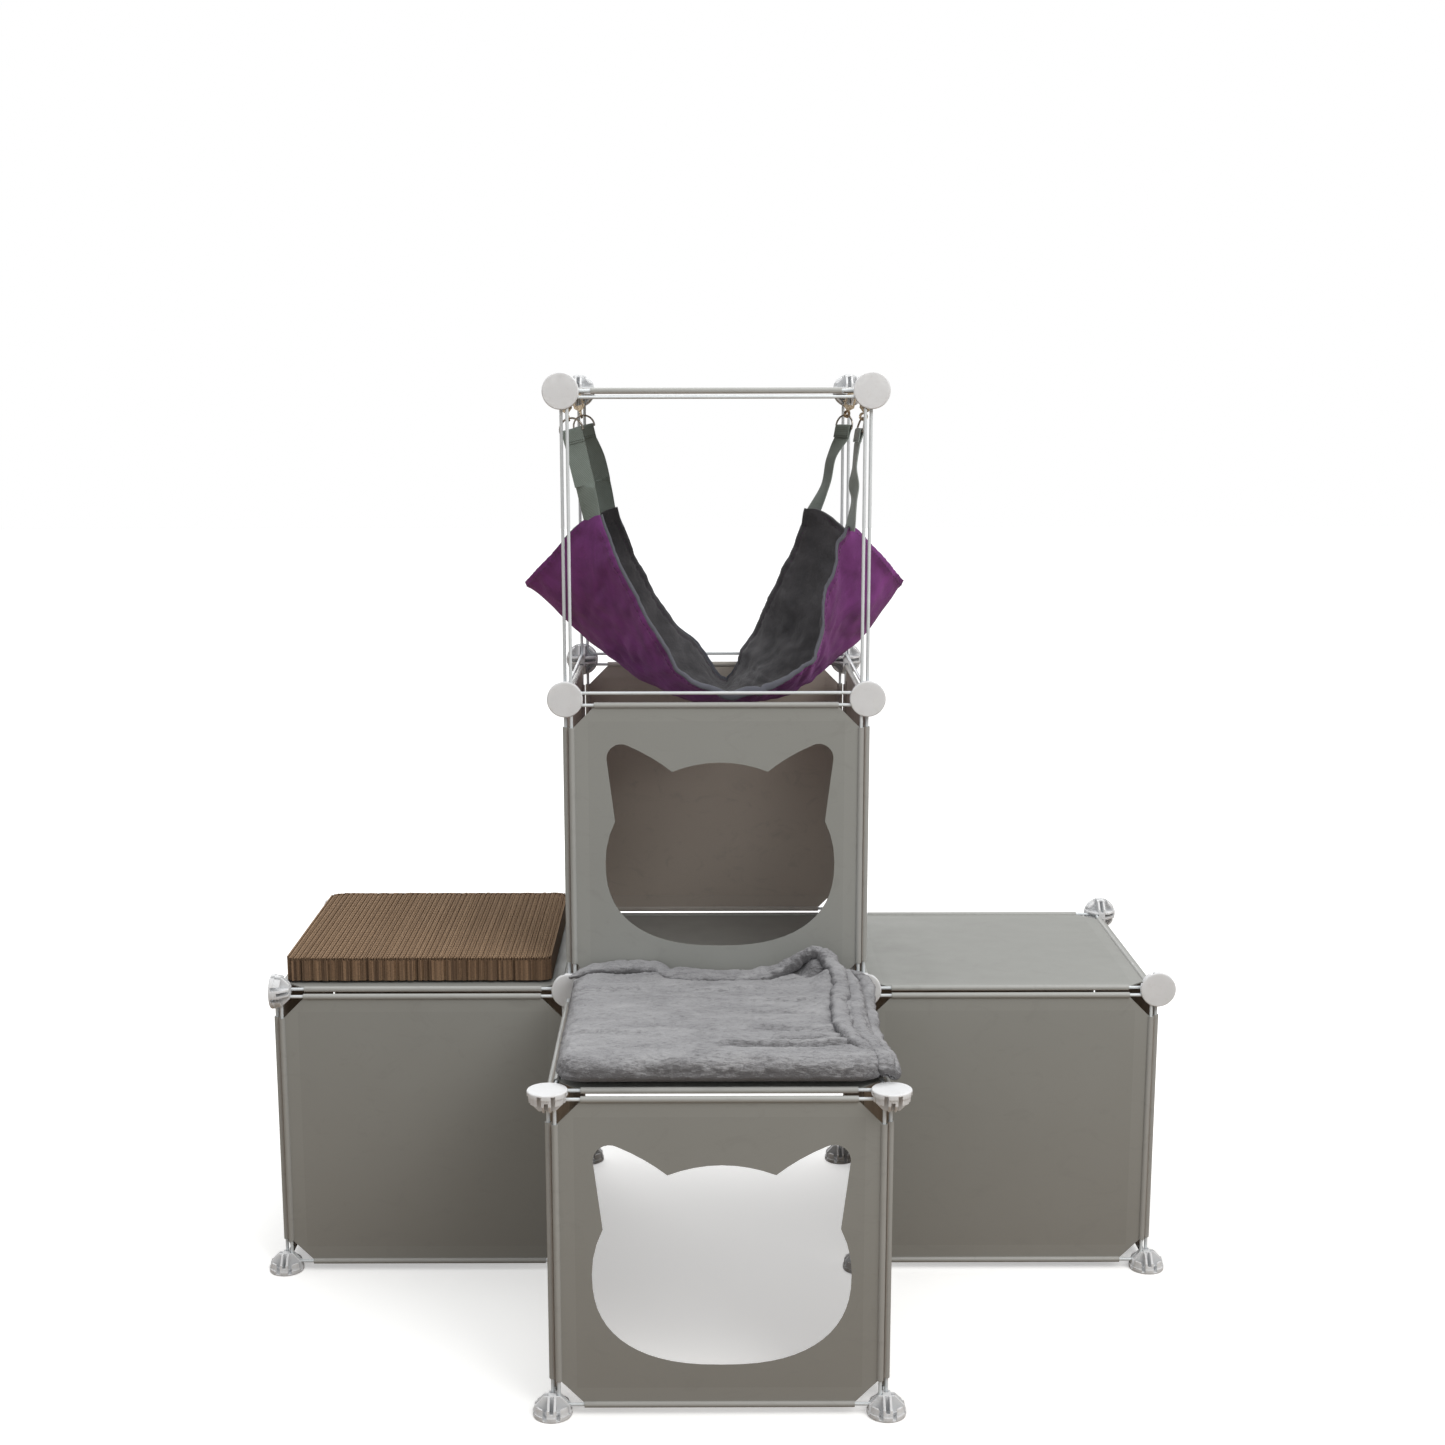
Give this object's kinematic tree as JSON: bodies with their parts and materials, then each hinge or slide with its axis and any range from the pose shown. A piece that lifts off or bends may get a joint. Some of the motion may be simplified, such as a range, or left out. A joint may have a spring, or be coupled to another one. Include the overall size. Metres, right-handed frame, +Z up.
{
  "type": "cat tree",
  "caption": "Cube-lattice cat tree of wire-framed sheet panels on disc connectors, with cat-head doorways, a slung hammock, a scratch pad and a folded blanket.",
  "frame": {"origin": "on the floor, under the middle of the object's outline", "axes": "+X across the front to the viewer's right, +Y to the back, +Z up"},
  "size_m": [1.154, 0.784, 1.1363],
  "materials": {
    "sheet": "satin",
    "wire": "satin",
    "connector": "satin",
    "cardboard": "raw",
    "plush": "short pile",
    "nylon": "woven",
    "webbing": "woven",
    "hardware": "nickel plated"
  },
  "bodies": {
    "tree_frame": {"front_cube_front_sheet": "sheet", "front_cube_left_sheet": "sheet", "front_cube_right_sheet": "sheet", "front_cube_top_sheet": "sheet", "left_cube_front_sheet": "sheet", "left_cube_side_sheet": "sheet", "left_cube_back_sheet": "sheet", "left_cube_top_sheet": "sheet", "right_cube_front_sheet": "sheet", "right_cube_side_sheet": "sheet", "right_cube_back_sheet": "sheet", "right_cube_top_sheet": "sheet", "middle_cube_floor_sheet": "sheet", "middle_cube_front_sheet": "sheet", "middle_cube_left_sheet": "sheet", "middle_cube_right_sheet": "sheet", "middle_cube_back_sheet": "sheet", "top_perch_sheet": "sheet", "front_cube_wires": "wire", "left_cube_wires": "wire", "right_cube_wires": "wire", "middle_cube_wires": "wire", "top_perch_wire": "wire", "hammock_bay_front_frame": "wire", "hammock_bay_back_frame": "wire", "hammock_bay_left_frame": "wire", "hammock_bay_right_frame": "wire", "foot_connectors": "connector", "front_cube_top_connectors": "connector", "low_level_connectors": "connector", "middle_level_connectors": "connector", "top_level_connectors": "connector"},
    "scratch_pad": {"scratch_pad": "cardboard"},
    "blanket": {"blanket": "plush"},
    "left_slings": {"front_left_strap": "webbing", "back_left_strap": "webbing", "front_left_d_ring": "hardware", "back_left_d_ring": "hardware", "front_left_hook": "hardware", "back_left_hook": "hardware", "left_gate_pins": "hardware"},
    "right_slings": {"front_right_strap": "webbing", "back_right_strap": "webbing", "front_right_d_ring": "hardware", "back_right_d_ring": "hardware", "front_right_hook": "hardware", "back_right_hook": "hardware", "right_gate_pins": "hardware"},
    "hammock": {"hammock_bed": "nylon"},
    "front_left_gate": {"front_left_gate": "hardware"},
    "back_left_gate": {"back_left_gate": "hardware"},
    "front_right_gate": {"front_right_gate": "hardware"},
    "back_right_gate": {"back_right_gate": "hardware"}
  },
  "joints": [
    {"name": "left_sling_swing", "type": "hinge", "parent": "tree_frame", "child": "left_slings", "pos_m": [-0.185, 0.185, 1.10675], "axis": [0, 1, 0], "range_deg": [-10, 10]},
    {"name": "hammock_tilt", "type": "hinge", "parent": "left_slings", "child": "hammock", "pos_m": [-0.15, 0.185, 0.96225], "axis": [0, 1, 0], "range_deg": [-12.5, 12.5]},
    {"name": "right_sling_swing", "type": "hinge", "parent": "tree_frame", "child": "right_slings", "pos_m": [0.185, 0.185, 1.10675], "axis": [0, 1, 0], "range_deg": [-10.1, 10.1]},
    {"name": "scratch_pad_lift", "type": "slide", "parent": "tree_frame", "child": "scratch_pad", "axis": [0, 0, 1], "range_m": [0, 0.15]},
    {"name": "blanket_lift", "type": "slide", "parent": "tree_frame", "child": "blanket", "axis": [0, 0, 1], "range_m": [0, 0.15]},
    {"name": "front_left_gate_press", "type": "hinge", "parent": "left_slings", "child": "front_left_gate", "pos_m": [-0.17621, 0.05, 1.0955], "axis": [0, -1, 0], "range_deg": [0, 20], "stiffness_Nm_per_rad": 0.01},
    {"name": "front_right_gate_press", "type": "hinge", "parent": "right_slings", "child": "front_right_gate", "pos_m": [0.17621, 0.05, 1.0955], "axis": [0, 1, 0], "range_deg": [0, 20], "stiffness_Nm_per_rad": 0.01},
    {"name": "back_left_gate_press", "type": "hinge", "parent": "left_slings", "child": "back_left_gate", "pos_m": [-0.17621, 0.32, 1.0955], "axis": [0, -1, 0], "range_deg": [0, 20], "stiffness_Nm_per_rad": 0.01},
    {"name": "back_right_gate_press", "type": "hinge", "parent": "right_slings", "child": "back_right_gate", "pos_m": [0.17621, 0.32, 1.0955], "axis": [0, 1, 0], "range_deg": [0, 20], "stiffness_Nm_per_rad": 0.01}
  ],
  "couplings": [
    {"joint": "hammock_tilt", "follows": "left_sling_swing", "ratio": -1.2333},
    {"joint": "right_sling_swing", "follows": "left_sling_swing", "ratio": 1}
  ]
}
